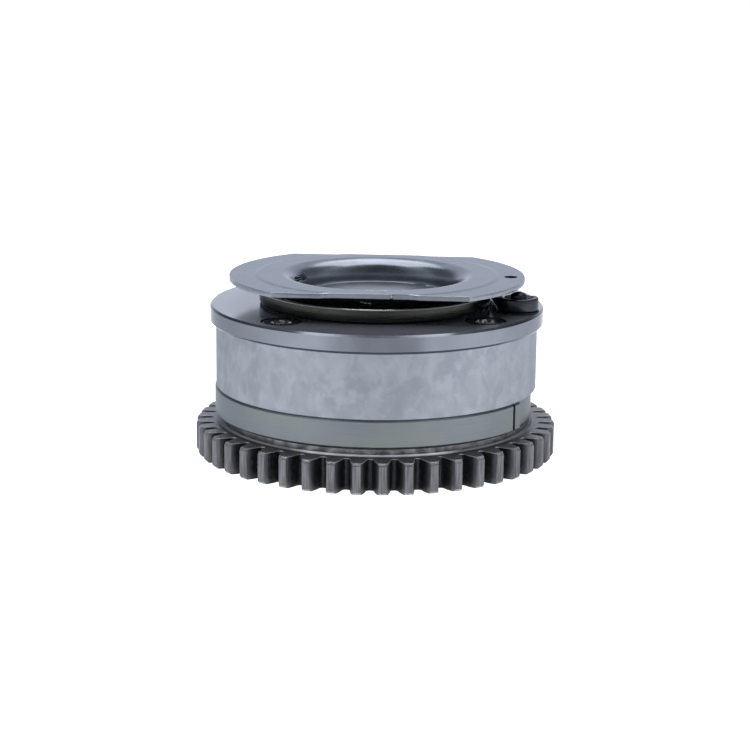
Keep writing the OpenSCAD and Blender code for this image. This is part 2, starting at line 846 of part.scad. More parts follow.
drive_gear();
rear_plate();
stator_housing();
front_cover();
cover_screws();
rotor();
trigger_wheel();
wheel_dowel();
bias_spring();
spring_post();
lock_pin();
lock_pin_spring();
lock_spring_seat();
lock_bush(0);  // lock_bush_1
lock_bush(travel_deg);  // lock_bush_2
for (i = [0:sectors - 1]) {
    vane_seal(i);
    vane_seal_spring(i);
    web_seal(i);
    web_seal_spring(i);
}
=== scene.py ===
"""Looks of the cam phaser: finishes, the rounded spiral spring, a pale studio and the camera."""
import math

import bmesh
import bpy
from mathutils import Matrix, Vector


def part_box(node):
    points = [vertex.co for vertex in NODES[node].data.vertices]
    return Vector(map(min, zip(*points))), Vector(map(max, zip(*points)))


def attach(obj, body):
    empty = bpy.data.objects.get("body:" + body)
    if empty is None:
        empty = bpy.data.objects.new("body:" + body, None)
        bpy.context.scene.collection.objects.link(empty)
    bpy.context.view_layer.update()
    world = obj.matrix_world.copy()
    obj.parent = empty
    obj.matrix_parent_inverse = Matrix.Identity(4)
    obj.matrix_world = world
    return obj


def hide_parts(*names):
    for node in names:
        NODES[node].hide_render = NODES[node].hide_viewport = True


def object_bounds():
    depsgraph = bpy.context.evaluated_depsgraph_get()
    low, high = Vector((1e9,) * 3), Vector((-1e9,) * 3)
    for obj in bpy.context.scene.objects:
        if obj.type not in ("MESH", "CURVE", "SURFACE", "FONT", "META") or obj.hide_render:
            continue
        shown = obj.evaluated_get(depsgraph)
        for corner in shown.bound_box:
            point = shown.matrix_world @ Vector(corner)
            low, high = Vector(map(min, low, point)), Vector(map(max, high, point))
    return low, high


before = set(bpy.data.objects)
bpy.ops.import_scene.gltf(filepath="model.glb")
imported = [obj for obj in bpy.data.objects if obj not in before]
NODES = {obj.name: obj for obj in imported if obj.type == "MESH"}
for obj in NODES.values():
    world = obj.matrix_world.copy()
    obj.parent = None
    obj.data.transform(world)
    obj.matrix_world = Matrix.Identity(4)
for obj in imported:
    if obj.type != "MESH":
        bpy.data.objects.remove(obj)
CAD_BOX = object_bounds()
MM = 0.001

# Camera, as the photograph sees the part
CAMERA_AIM = Vector((-0.3, 0.0, 22.24)) * MM
CAMERA_DISTANCE = 610.6 * MM
CAMERA_ELEVATION = math.radians(12.92)
CAMERA_ROLL = math.radians(0.638)
CAMERA_LENS = 97.19
CAMERA_SENSOR = 36.0

# Studio: a white floor that glows unevenly round the part, and a sky that is bright behind it
FLOOR_SIZE = 14.0
FLOOR_GAP = 0.05 * MM
FLOOR_WHITE = (0.8, 0.8, 0.8, 1.0)
FLOOR_ROUGH = 0.9
FLOOR_SPECULAR = 0.1
FLOOR_GLOW = (0.32, 1.30)
FLOOR_NEAR_STOPS = (
    (-180, 0.30), (-125, 0.20), (-80, 0.52), (-45, 0.92), (-12, 0.82),
    (12, 0.82), (45, 0.95), (75, 0.50), (125, 0.22), (180, 0.30),
)
FLOOR_FAR_STOPS = (
    (-180, 0.40), (-163, 0.35), (-140, 0.20), (-110, 0.16), (-85, 0.45), (-60, 0.85),
    (-36, 0.95), (-20, 0.42), (-7, 0.00), (9, 0.00), (21, 0.10), (34, 0.80),
    (55, 1.00), (80, 0.85), (110, 0.55), (140, 0.45), (163, 0.35), (180, 0.40),
)
FLOOR_FAR_FROM = (0.11, 0.20)
SKY_STRENGTH = 1.6
SKY_TINT = (0.94, 0.98, 1.10)
SKY_AROUND_STOPS = (
    (0, 1.0), (20, 1.0), (42, 0.10), (72, 0.15), (100, 0.50), (122, 0.30), (145, 0.03), (180, 0.0),
)
SKY_BACK_STOPS = ((0, 0.95), (6, 0.90), (12, 0.80), (22, 0.70), (33, 0.50), (48, 0.90), (90, 0.60))
SKY_FRONT_STOPS = ((0, 0.50), (8, 0.42), (14, 0.07), (74, 0.05), (90, 0.30))
BOX_PLACE = Vector((0.0, 0.22, 0.92))
BOX_WIDTH = 1.1
BOX_DEPTH = 0.9
BOX_POWER = 7.5

# Tint of the gloss that metals keep at a glancing view
METAL_EDGE = (0.62, 0.64, 0.67, 1.0)
BLACK_EDGE = (0.20, 0.21, 0.24, 1.0)

# Edge rounding of the solid pieces, node by node
EDGE_ANGLE = math.radians(28)
EDGE_SEGMENTS = 2
WELD_GAP = 1e-6
EDGE_WIDTH = {
    "drive_gear": 0.20 * MM,
    "cover_screws": 0.10 * MM,
    "trigger_wheel": 0.20 * MM,
    "spring_post": 0.12 * MM,
    "rotor": 0.15 * MM,
}

# Places on the solids that a finish follows
GEAR_TOP = 9.3 * MM
GEAR_FLANK_R = 51.5 * MM
GEAR_TIP_R = 53.9 * MM
GEAR_CHAMFER_R = 53.2 * MM
# Painted highlight: a light line along the top edge of the teeth, where light would catch the edge
RIDGE_HIGHLIGHT_FROM = 0.30 * MM
RIDGE_HIGHLIGHT_FULL = 0.16 * MM
NECK_TOP = 12.1 * MM
# Height of the painted shade on the neck, just below the band
NECK_SHADE = 0.75 * MM
BOWL_FLOOR_R = 23.3 * MM
# Painted highlight on the bowl's floor: full inside the first radius, gone at the second
BOWL_HIGHLIGHT_R = 10 * MM
BOWL_HIGHLIGHT_END_R = 21.5 * MM
BOWL_MOUTH_R = 27.0 * MM
LAND_IN_R = 46.3 * MM
LAND_R = 47.22 * MM
LAND_FADE = 0.15 * MM
LAND_BEAD = 0.7 * MM
# Painted highlight on the land: full within the first distance either side of the front-to-back middle
# line, gone past the second
LAND_HIGHLIGHT_X = 17 * MM
LAND_HIGHLIGHT_END_X = 25 * MM
SHEET_EDGE_R = 32.0 * MM
WHEEL_HOLE_AT = 39.8 * MM
WHEEL_HOLE_DEG = -4.0
# Painted shade in the small hole of the wheel: near black inside the first radius, fading out by the second
WHEEL_HOLE_SHADE_R = 1.95 * MM
WHEEL_HOLE_SHADE_FADE_R = 2.10 * MM
WHEEL_YAW = -3.3
WHEEL_FLAT = 33.8 * MM
NICK_OFFSET = 6 * MM
# Painted glint at the nick on the wheel's front flat: full inside the first radius, gone at the second
NICK_GLINT_R = 0.25 * MM
NICK_GLINT_FADE_R = 0.5 * MM
SCREW_PHASE = -41.0
SCREW_CIRCLE_R = 41.3 * MM
SOCKET_R = 3.0 * MM
SOFT_EDGE = 0.1 * MM
OUTER_TURN_FROM = 1.6 * MM
OUTER_TURN_FULL = 1.2 * MM
# Painted highlight along the upper edge of the spring's outer turn: starts this far below the top, full at
# the next
TOP_HIGHLIGHT_FROM = 0.45 * MM
TOP_HIGHLIGHT_FULL = 0.25 * MM
# Painted highlight along the spring's lower edge: starts this far above the bottom, full at the next
LOWER_HIGHLIGHT_FROM = 0.30 * MM
LOWER_HIGHLIGHT_FULL = 0.15 * MM
HOOK_BLACK_R = 8.0 * MM
HOOK_FADE_R = 9.5 * MM

# Spiral spring, in the sizes of the solid that it stands for
STRIP_T = 1.7 * MM
STRIP_ROUND = 0.45 * MM
SPIRAL_R = 35.33 * MM
SPIRAL_IN_R = 26.55 * MM
SPIRAL_FROM = 4.35
SPIRAL_TO = 1340.0
TANG_BEND_R = 1.6 * MM
TANG_END_R = 22.4 * MM
HOOK_R = 5.07 * MM
HOOK_FROM = 184.35
HOOK_TO = 389.35
SPIRAL_SPLIT = 1150.0
SPIRAL_LAP = 15.0
SPIRAL_STEP = 3.0
HOOK_STEP = 6.0
LAP_SHRINK = 0.94
CORNER_STEPS = 3


def polar(r, degrees):
    return Vector((r * math.cos(math.radians(degrees)), r * math.sin(math.radians(degrees))))


def plan_middle(name):
    """Middle of a node, seen from above."""
    low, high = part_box(name)
    return Vector(((low.x + high.x) / 2, (low.y + high.y) / 2))


class Nodes:
    """Adds nodes to a tree and feeds their inputs with values or with other nodes."""

    def __init__(self, tree):
        self.tree = tree

    def add(self, kind, inputs=None, **settings):
        node = self.tree.nodes.new(kind)
        for name, value in settings.items():
            setattr(node, name, value)
        for name, value in (inputs or {}).items():
            self.feed(node.inputs[name], value)
        return node

    def feed(self, socket, value):
        if isinstance(value, bpy.types.NodeSocket):
            self.tree.links.new(value, socket)
        else:
            socket.default_value = value

    def math(self, operation, a, b=0.0):
        return self.add("ShaderNodeMath", {0: a, 1: b}, operation=operation).outputs[0]

    def vector_math(self, operation, a, b):
        return self.add("ShaderNodeVectorMath", {0: a, 1: b}, operation=operation).outputs[0]

    def length(self, vector):
        return self.add("ShaderNodeVectorMath", {0: vector}, operation="LENGTH").outputs["Value"]

    def turn(self, x, y):
        """Direction in the plan, from 0 to 1 for a whole turn."""
        angle = self.math("ARCTAN2", x, y)
        ends = {"Value": angle, "From Min": -math.pi, "From Max": math.pi}
        return self.add("ShaderNodeMapRange", ends).outputs["Result"]

    def levels(self, place, stops, low, high, tint=(1.0, 1.0, 1.0), smooth=False):
        """Colour ramp whose stops are given as a place between low and high, and a level of the tint."""
        ramp = self.add("ShaderNodeValToRGB", {0: place})
        if smooth:
            ramp.color_ramp.interpolation = "EASE"
        elements = ramp.color_ramp.elements
        while len(elements) < len(stops):
            elements.new(0.5)
        for element, (at, _) in zip(elements, stops):
            element.position = (at - low) / (high - low)
        for element, (_, level) in zip(elements, stops):
            element.color = [level * part for part in tint] + [1.0]
        return ramp.outputs["Color"]


class Finish(Nodes):
    """A material with one Principled shader and the nodes that vary it, in the part's own coordinates."""

    def __init__(self, name, metallic=1.0, specular=0.5, edge=METAL_EDGE):
        self.material = bpy.data.materials.new(name)
        self.material.use_nodes = True
        super().__init__(self.material.node_tree)
        self.shader = self.tree.nodes["Principled BSDF"]
        self.shader.inputs["Metallic"].default_value = metallic
        self.shader.inputs["Specular IOR Level"].default_value = specular
        self.shader.inputs["Specular Tint"].default_value = edge
        self.place = self.add("ShaderNodeTexCoord").outputs["Object"]

    def stretched(self, x, y, z):
        """The place, scaled along each axis: a small scale makes streaks along that axis."""
        return self.vector_math("MULTIPLY", self.place, (x, y, z))

    def from_axis(self, x=0.0, y=0.0):
        """Distance from the upright line through a point of the plan."""
        moved = self.vector_math("SUBTRACT", self.place, (x, y, 0))
        return self.length(self.vector_math("MULTIPLY", moved, (1, 1, 0)))

    def height(self):
        return self.add("ShaderNodeSeparateXYZ", {0: self.place}).outputs["Z"]

    def level(self, low=0.7, high=0.97):
        """1 where the surface lies level, 0 where it stands upright."""
        normal = self.add("ShaderNodeNewGeometry").outputs["Normal"]
        z = self.add("ShaderNodeSeparateXYZ", {0: normal}).outputs["Z"]
        return self.band(self.math("ABSOLUTE", z), low, high)

    def noise(self, size, vector=None, detail=4.0, roughness=0.55, distortion=0.0):
        """Cloudy noise from 0 to 1 with features of about the given size in metres."""
        node = self.add("ShaderNodeTexNoise", {
            "Vector": vector or self.place, "Scale": 1.0 / size, "Detail": detail,
            "Roughness": roughness, "Distortion": distortion,
        })
        return node.outputs["Fac"]

    def band(self, value, low, high, to_low=0.0, to_high=1.0):
        """A value mapped from one range to another and held at the ends."""
        node = self.add("ShaderNodeMapRange", {
            "Value": value, "From Min": low, "From Max": high, "To Min": to_low, "To Max": to_high,
        }, interpolation_type="SMOOTHSTEP")
        return node.outputs["Result"]

    def blend(self, factor, first, second):
        node = self.add("ShaderNodeMix", data_type="RGBA")
        for name, value in (("Factor_Float", factor), ("A_Color", first), ("B_Color", second)):
            socket = next(s for s in node.inputs if s.identifier == name)
            self.feed(socket, value)
        return next(s for s in node.outputs if s.identifier == "Result_Color")

    def colour(self, value):
        self.feed(self.shader.inputs["Base Color"], value)

    def rough(self, value):
        self.feed(self.shader.inputs["Roughness"], value)

    def bump(self, height, depth, strength=0.5):
        """Relief from a height value, laid over any relief that is already there."""
        node = self.add("ShaderNodeBump", {"Height": height, "Distance": depth, "Strength": strength})
        before = self.shader.inputs["Normal"].links
        if before:
            self.feed(node.inputs["Normal"], before[0].from_socket)
        self.feed(self.shader.inputs["Normal"], node.outputs["Normal"])


def grey(level, blue=0.0):
    """A grey in linear light, with a share of blue cast."""
    return (level * (1 - blue), level, level * (1 + 2 * blue), 1.0)


def gear_finish():
    """Dark phosphated steel: streaked lighter tips, rubbed tip chamfers, a painted highlight along the
    teeth's top edge, and a turned land with a painted highlight at its front and back.
    """
    f = Finish("gear_steel", metallic=0.6)
    mottle = f.noise(1.3 * MM, detail=6, roughness=0.65)
    streaks = f.noise(0.45 * MM, f.stretched(1, 1, 0.06), detail=4)
    specks = f.noise(0.30 * MM, detail=3)
    flank = f.blend(f.band(mottle, 0.35, 0.70), grey(0.018, 0.06), grey(0.046, 0.05))
    tip = f.blend(f.band(streaks, 0.30, 0.70), grey(0.090, 0.04), grey(0.184, 0.03))
    tip = f.blend(f.band(specks, 0.60, 0.72, 0.0, 0.5), tip, grey(0.060))
    side = f.blend(f.band(f.from_axis(), GEAR_FLANK_R, GEAR_TIP_R), flank, tip)
    top = f.blend(f.band(mottle, 0.30, 0.70), grey(0.122, 0.02), grey(0.210, 0.02))
    # Painted highlight: the top edge of the teeth is painted light grey by height
    ridge_highlight = f.band(f.height(), GEAR_TOP - RIDGE_HIGHLIGHT_FROM, GEAR_TOP - RIDGE_HIGHLIGHT_FULL)
    side = f.blend(ridge_highlight, side, grey(0.46, 0.02))
    metal = f.blend(f.level(), side, top)
    end = f.band(f.from_axis(), GEAR_CHAMFER_R, GEAR_CHAMFER_R + SOFT_EDGE)
    chamfer = f.math("MULTIPLY", f.level(0.45, 0.55), end)
    rubbed = f.blend(f.band(specks, 0.40, 0.60), grey(0.16, 0.03), grey(0.40, 0.02))
    metal = f.blend(chamfer, metal, rubbed)
    x = f.add("ShaderNodeSeparateXYZ", {0: f.place}).outputs["X"]
    # Painted highlight: the land is near white only at its front and back, dull grey at its sides
    land = f.blend(f.band(f.math("ABSOLUTE", x), LAND_HIGHLIGHT_X, LAND_HIGHLIGHT_END_X), grey(0.97), grey(0.20))
    outside = f.band(f.from_axis(), LAND_R, LAND_R + LAND_FADE)
    f.colour(f.blend(outside, land, metal))
    f.feed(f.shader.inputs["Metallic"], f.band(outside, 0, 1, 1.0, 0.6))
    f.rough(f.band(mottle, 0.25, 0.75, 0.34, 0.50))
    f.bump(f.noise(0.35 * MM, detail=3), 0.03 * MM, 0.35)
    f.bump(f.band(f.from_axis(), LAND_IN_R, LAND_R, 1.0, 0.0), LAND_BEAD, 1.0)
    return f.material


def plate_finish():
    """Turned steel: a satin band with a faint greenish cast in places, and a painted shade on the neck just
    below the band.
    """
    f = Finish("plate_steel", metallic=0.85)
    turning = f.noise(0.22 * MM, f.stretched(0.02, 0.02, 1), detail=2)
    clouds = f.noise(16 * MM, detail=5)
    band = f.blend(f.band(clouds, 0.40, 0.62), (0.132, 0.144, 0.166, 1), (0.148, 0.167, 0.160, 1))
    band = f.blend(f.band(turning, 0.35, 0.65, 0.0, 0.6), band, (0.168, 0.184, 0.190, 1))
    mottle = f.noise(3.0 * MM, detail=4, roughness=0.6)
    neck = f.blend(f.band(mottle, 0.35, 0.65), grey(0.10, 0.02), grey(0.22, 0.01))
    # Painted shade: a near-black strip at the top of the neck, below the band's overhang
    neck_shade_low = NECK_TOP - NECK_SHADE
    neck = f.blend(f.band(f.height(), neck_shade_low - SOFT_EDGE, neck_shade_low + SOFT_EDGE), neck, grey(0.012))
    f.colour(f.blend(f.band(f.height(), NECK_TOP - SOFT_EDGE, NECK_TOP), neck, band))
    f.rough(f.band(turning, 0.3, 0.7, 0.32, 0.42))
    f.bump(turning, 0.02 * MM, 0.25)
    return f.material


def housing_finish():
    """Sintered and ground drum: pale, matt, faintly clouded, with smears and light scuffs."""
    f = Finish("housing_metal", metallic=0.8)
    clouds = f.noise(12 * MM, detail=5, distortion=0.5)
    base = f.blend(f.band(clouds, 0.30, 0.70), (0.234, 0.256, 0.291, 1), (0.314, 0.339, 0.376, 1))
    patches = f.noise(4.5 * MM, detail=4, roughness=0.5)
    base = f.blend(f.band(patches, 0.44, 0.66, 0.0, 0.6), base, (0.348, 0.372, 0.408, 1))
    smears = f.noise(7 * MM, f.stretched(1, 1, 0.6), detail=4, distortion=1.2)
    base = f.blend(f.band(smears, 0.50, 0.64, 0.0, 0.48), base, (0.220, 0.244, 0.275, 1))
    wipes = f.noise(4 * MM, f.stretched(1, 1, 0.4), detail=5, distortion=0.6)
    base = f.blend(f.band(wipes, 0.54, 0.74, 0.0, 0.45), base, (0.352, 0.376, 0.418, 1))
    scuffs = f.noise(1.5 * MM, f.stretched(1, 1, 1.6), detail=6, roughness=0.7)
    base = f.blend(f.band(scuffs, 0.66, 0.70, 0.0, 0.6), base, (0.410, 0.430, 0.470, 1))
    f.colour(f.blend(f.band(scuffs, 0.30, 0.27, 0.0, 0.5), base, (0.180, 0.198, 0.228, 1)))
    f.rough(f.band(clouds, 0.3, 0.7, 0.48, 0.58))
    f.bump(f.noise(0.25 * MM, detail=3), 0.02 * MM, 0.2)
    return f.material


def cover_finish():
    """Ground plate: polished on its level face, satin with faint turning marks round its rim."""
    f = Finish("cover_steel")
    level = f.level()
    clouds = f.noise(9 * MM, detail=5)
    turning = f.noise(0.3 * MM, f.stretched(0.02, 0.02, 1), detail=2)
    rim = f.blend(f.band(clouds, 0.3, 0.7), (0.150, 0.162, 0.190, 1), (0.172, 0.184, 0.214, 1))
    marks = f.noise(1.2 * MM, f.stretched(1, 1, 0.7), detail=5, roughness=0.7)
    rim = f.blend(f.band(marks, 0.66, 0.71, 0.0, 0.5), rim, (0.236, 0.246, 0.274, 1))
    face = f.blend(f.band(clouds, 0.3, 0.7), (0.182, 0.193, 0.227, 1), (0.207, 0.221, 0.256, 1))
    f.colour(f.blend(level, rim, face))
    f.feed(f.shader.inputs["Metallic"], f.band(level, 0, 1, 1.0, 0.54))
    f.rough(f.math("ADD", f.band(level, 0, 1, 0.13, 0.10), f.band(clouds, 0.3, 0.7, 0.0, 0.04)))
    f.bump(turning, 0.012 * MM, 0.1)
    return f.material


def wheel_finish():
    """Pressed sheet with a satin bluish skin, a painted highlight along its cut edge and on the middle of
    the bowl's floor, painted shade in its small hole and a painted glint at the nick.
    """
    f = Finish("wheel_sheet", metallic=0.92)
    level = f.level(0.2, 0.6)
    # Painted highlight: a light line on the rounded cut edge of the sheet, picked out by the slope of its
    # surface
    arris_highlight = f.math("SUBTRACT", f.level(0.15, 0.40), f.level(0.80, 0.97))
    clouds = f.noise(9 * MM, detail=5, distortion=0.4)
    grain = f.noise(0.6 * MM, detail=4)
    skin = f.blend(f.band(clouds, 0.3, 0.7), (0.180, 0.199, 0.230, 1), (0.222, 0.240, 0.274, 1))
    skin = f.blend(f.band(grain, 0.58, 0.75, 0.0, 0.2), skin, (0.270, 0.286, 0.322, 1))
    edge = f.blend(f.band(clouds, 0.3, 0.7), (0.180, 0.195, 0.224, 1), (0.220, 0.236, 0.268, 1))
    edge = f.blend(arris_highlight, f.blend(level, edge, skin), (0.46, 0.48, 0.52, 1))
    outside = f.band(f.from_axis(), SHEET_EDGE_R, SHEET_EDGE_R + MM)
    skin = f.blend(outside, skin, edge)
    # Painted highlight: the middle of the bowl's floor is painted lighter
    skin = f.blend(f.band(f.from_axis(), BOWL_HIGHLIGHT_R, BOWL_HIGHLIGHT_END_R), (0.345, 0.365, 0.405, 1), skin)
    hole = polar(WHEEL_HOLE_AT, WHEEL_HOLE_DEG)
    # Painted shade: the inside of the small hole is painted near black
    off_hole_shade = f.band(f.from_axis(hole.x, hole.y), WHEEL_HOLE_SHADE_R, WHEEL_HOLE_SHADE_FADE_R)
    skin = f.blend(off_hole_shade, grey(0.010), skin)
    nick = polar(NICK_OFFSET, WHEEL_YAW) + polar(WHEEL_FLAT, WHEEL_YAW - 90)
    # Painted glint: a light grey spot at the nick
    off_nick_glint = f.band(f.from_axis(nick.x, nick.y), NICK_GLINT_R, NICK_GLINT_FADE_R)
    f.colour(f.blend(off_nick_glint, grey(0.70), skin))
    floor = f.band(f.from_axis(), BOWL_FLOOR_R, BOWL_FLOOR_R + MM, 0.2, 0.0)
    worn = f.band(f.from_axis(), BOWL_MOUTH_R, BOWL_MOUTH_R + 2 * MM, 0.19, 0.25)
    f.rough(f.math("ADD", f.math("ADD", worn, f.band(clouds, 0.3, 0.7, 0.0, 0.07)), floor))
    f.bump(grain, 0.02 * MM, 0.1)
    return f.material


def spring_finish():
    """Rolled spring strip: dark olive scale, painted highlights along the upper edge of its outer turn and
    along its lower edge, black at the hook.
    """
    f = Finish("spring_steel", metallic=0.8)
    low, top = (corner.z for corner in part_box("bias_spring"))
    outer_turn = f.band(f.from_axis(), SPIRAL_R - OUTER_TURN_FROM, SPIRAL_R - OUTER_TURN_FULL)
    brushed = f.noise(0.25 * MM, f.stretched(0.05, 0.05, 1), detail=3)
    clouds = f.noise(6 * MM, detail=4)
    scale = f.blend(f.band(clouds, 0.3, 0.7), (0.029, 0.030, 0.026, 1), (0.047, 0.047, 0.040, 1))
    scale = f.blend(f.band(brushed, 0.4, 0.7), scale, (0.058, 0.059, 0.052, 1))
    # Painted highlight: a near-white line along the upper edge of the outer turn
    top_edge_highlight = f.math("MULTIPLY", f.band(f.height(), top - TOP_HIGHLIGHT_FROM, top - TOP_HIGHLIGHT_FULL), outer_turn)
    scale = f.blend(top_edge_highlight, scale, (0.70, 0.72, 0.71, 1))
    # Painted highlight: a light grey line along the lower edge of the strip
    lower_edge_highlight = f.band(f.height(), low + LOWER_HIGHLIGHT_FROM, low + LOWER_HIGHLIGHT_FULL)
    scale = f.blend(lower_edge_highlight, scale, (0.16, 0.17, 0.165, 1))
    post = plan_middle("spring_post")
    off_hook = f.band(f.from_axis(post.x, post.y), HOOK_BLACK_R, HOOK_FADE_R)
    f.colour(f.blend(off_hook, grey(0.036, 0.1), scale))
    f.rough(f.band(brushed, 0.3, 0.7, 0.24, 0.36))
    f.bump(brushed, 0.01 * MM, 0.3)
    return f.material


def post_finish():
    """Black oxide with a slightly rubbed surface."""
    f = Finish("post_steel", metallic=0.8, specular=0.2, edge=BLACK_EDGE)
    clouds = f.noise(2.5 * MM, detail=5)
    f.colour(f.blend(f.band(clouds, 0.35, 0.7), grey(0.020), grey(0.050, 0.04)))
    f.rough(f.band(clouds, 0.3, 0.7, 0.26, 0.40))
    f.bump(f.noise(0.3 * MM, detail=3), 0.02 * MM, 0.3)
    return f.material


def screw_finish():
    """Dark plated screws with a dull bloom, and painted white glints in and round the socket."""
    f = Finish("screw_steel")
    clouds = f.noise(1.5 * MM, detail=5)
    plate = f.blend(f.band(clouds, 0.3, 0.7), grey(0.065, 0.03), grey(0.120, 0.03))
    sparks = f.noise(1.1 * MM, detail=0)
    # Painted glints: white specks in and round the socket, in place of the light they catch
    glint = f.blend(f.band(sparks, 0.42, 0.58), grey(0.12), grey(1.0))
    outside = f.band(screw_distance(f), SOCKET_R - SOFT_EDGE, SOCKET_R + SOFT_EDGE)
    f.colour(f.blend(outside, glint, plate))
    f.feed(f.shader.inputs["Metallic"], f.band(outside, 0, 1, 0.4, 0.85))
    f.rough(f.band(clouds, 0.3, 0.7, 0.22, 0.36))
    f.bump(f.noise(0.3 * MM, detail=3), 0.015 * MM, 0.25)
    return f.material


def screw_distance(f):
    """Distance from the axis of the nearest of the four screws."""
    back = {"Vector": f.place, "Angle": -math.radians(SCREW_PHASE)}
    turned = f.add("ShaderNodeVectorRotate", back, rotation_type="Z_AXIS").outputs[0]
    parts = f.add("ShaderNodeSeparateXYZ", {0: turned}).outputs
    across = f.math("ABSOLUTE", parts["X"])
    along = f.math("ABSOLUTE", parts["Y"])
    far = f.math("SUBTRACT", f.math("MAXIMUM", across, along), SCREW_CIRCLE_R)
    near = f.math("MINIMUM", across, along)
    return f.math("SQRT", f.math("ADD", f.math("MULTIPLY", far, far), f.math("MULTIPLY", near, near)))


def rotor_finish():
    """Sintered steel with a fine open grain."""
    f = Finish("rotor_metal")
    grain = f.noise(0.35 * MM, detail=5, roughness=0.7)
    clouds = f.noise(7 * MM, detail=5)
    base = f.blend(f.band(clouds, 0.3, 0.7), grey(0.17, 0.04), grey(0.24, 0.04))
    f.colour(f.blend(f.band(grain, 0.56, 0.70, 0.0, 0.6), base, grey(0.09)))
    f.rough(f.band(grain, 0.3, 0.7, 0.36, 0.52))
    f.bump(grain, 0.03 * MM, 0.35)
    return f.material


def hardened_finish():
    """Ground hardened steel, with straw coloured temper clouds."""
    f = Finish("hardened_steel")
    clouds = f.noise(2.5 * MM, detail=4)
    turning = f.noise(0.12 * MM, f.stretched(0.02, 0.02, 1), detail=2)
    f.colour(f.blend(f.band(clouds, 0.35, 0.7), grey(0.36, 0.02), (0.40, 0.37, 0.30, 1)))
    f.rough(f.band(turning, 0.3, 0.7, 0.16, 0.26))
    f.bump(turning, 0.01 * MM, 0.2)
    return f.material


def wire_finish():
    """Drawn spring wire and leaf strip."""
    f = Finish("spring_wire")
    drawn = f.noise(0.4 * MM, detail=4)
    f.colour(f.blend(f.band(drawn, 0.3, 0.7), grey(0.28, 0.03), grey(0.42, 0.02)))
    f.rough(f.band(drawn, 0.3, 0.7, 0.22, 0.34))
    f.bump(drawn, 0.01 * MM, 0.2)
    return f.material


def seal_finish():
    """Filled polymer strip, matt and slightly speckled."""
    f = Finish("seal_polymer", metallic=0.0, specular=0.4, edge=(1, 1, 1, 1))
    fill = f.noise(0.4 * MM, detail=5, roughness=0.7)
    f.colour(f.blend(f.band(fill, 0.5, 0.7), (0.024, 0.026, 0.028, 1), (0.060, 0.058, 0.052, 1)))
    f.rough(f.band(fill, 0.3, 0.7, 0.48, 0.62))
    f.bump(fill, 0.02 * MM, 0.25)
    return f.material


FINISHES = {
    "gear_steel": gear_finish,
    "plate_steel": plate_finish,
    "housing_metal": housing_finish,
    "cover_steel": cover_finish,
    "screw_steel": screw_finish,
    "rotor_metal": rotor_finish,
    "wheel_sheet": wheel_finish,
    "hardened_steel": hardened_finish,
    "spring_steel": spring_finish,
    "post_steel": post_finish,
    "spring_wire": wire_finish,
    "seal_polymer": seal_finish,
}


def dress_nodes():
    """Every solid gets the finish of its material slot; returns the materials by slot."""
    made = {name: make() for name, make in FINISHES.items()}
    for node in NODES.values():
        for slot in node.material_slots:
            slot.material = made[slot.material.name.split(".")[0]]
    return made


def round_edges():
    """Rounds the sharp edges of the pieces that show."""
    for name, width in EDGE_WIDTH.items():
        weld = NODES[name].modifiers.new("weld", "WELD")
        weld.merge_threshold = WELD_GAP
        bevel = NODES[name].modifiers.new("edges", "BEVEL")
        bevel.width = width
        bevel.segments = EDGE_SEGMENTS
        bevel.limit_method = "ANGLE"
        bevel.angle_limit = EDGE_ANGLE
        bevel.use_clamp_overlap = False
        bevel.loop_slide = False
        bevel.harden_normals = True


def steps(start, stop, step):
    """Even steps from start to stop, both included, of about the given size."""
    count = max(1, math.ceil(abs(stop - start) / step))
    return [start + (stop - start) * i / count for i in range(count + 1)]


def spiral_points(start, stop):
    """Middle line of the spiral between two angles, counted inwards from the outer end."""
    slope = (SPIRAL_IN_R - SPIRAL_R) / (SPIRAL_TO - SPIRAL_FROM)
    return [polar(SPIRAL_R + slope * (a - SPIRAL_FROM), a) for a in steps(start, stop, SPIRAL_STEP)]


def hook_points(centre):
    return [centre + polar(HOOK_R, a) for a in steps(HOOK_FROM, HOOK_TO, HOOK_STEP)]


def tang_points():
    """The inner end: a tight bend and a short straight through the bowl's slot."""
    bend = polar(SPIRAL_IN_R - TANG_BEND_R, SPIRAL_TO)
    arc = [bend + polar(TANG_BEND_R, SPIRAL_TO + a) for a in steps(HOOK_STEP, 90, HOOK_STEP)]
    return arc + [polar(TANG_END_R, SPIRAL_TO) + polar(TANG_BEND_R, SPIRAL_TO + 90)]


def strip_section(width, height):
    """Rounded rectangle, as offsets across the strip and up it."""
    points = []
    for corner, (sx, sz) in enumerate(((1, 1), (-1, 1), (-1, -1), (1, -1))):
        middle = Vector((sx * (width / 2 - STRIP_ROUND), sz * (height / 2 - STRIP_ROUND)))
        for i in range(CORNER_STEPS + 1):
            points.append(middle + polar(STRIP_ROUND, 90 * (corner + i / CORNER_STEPS)))
    return points


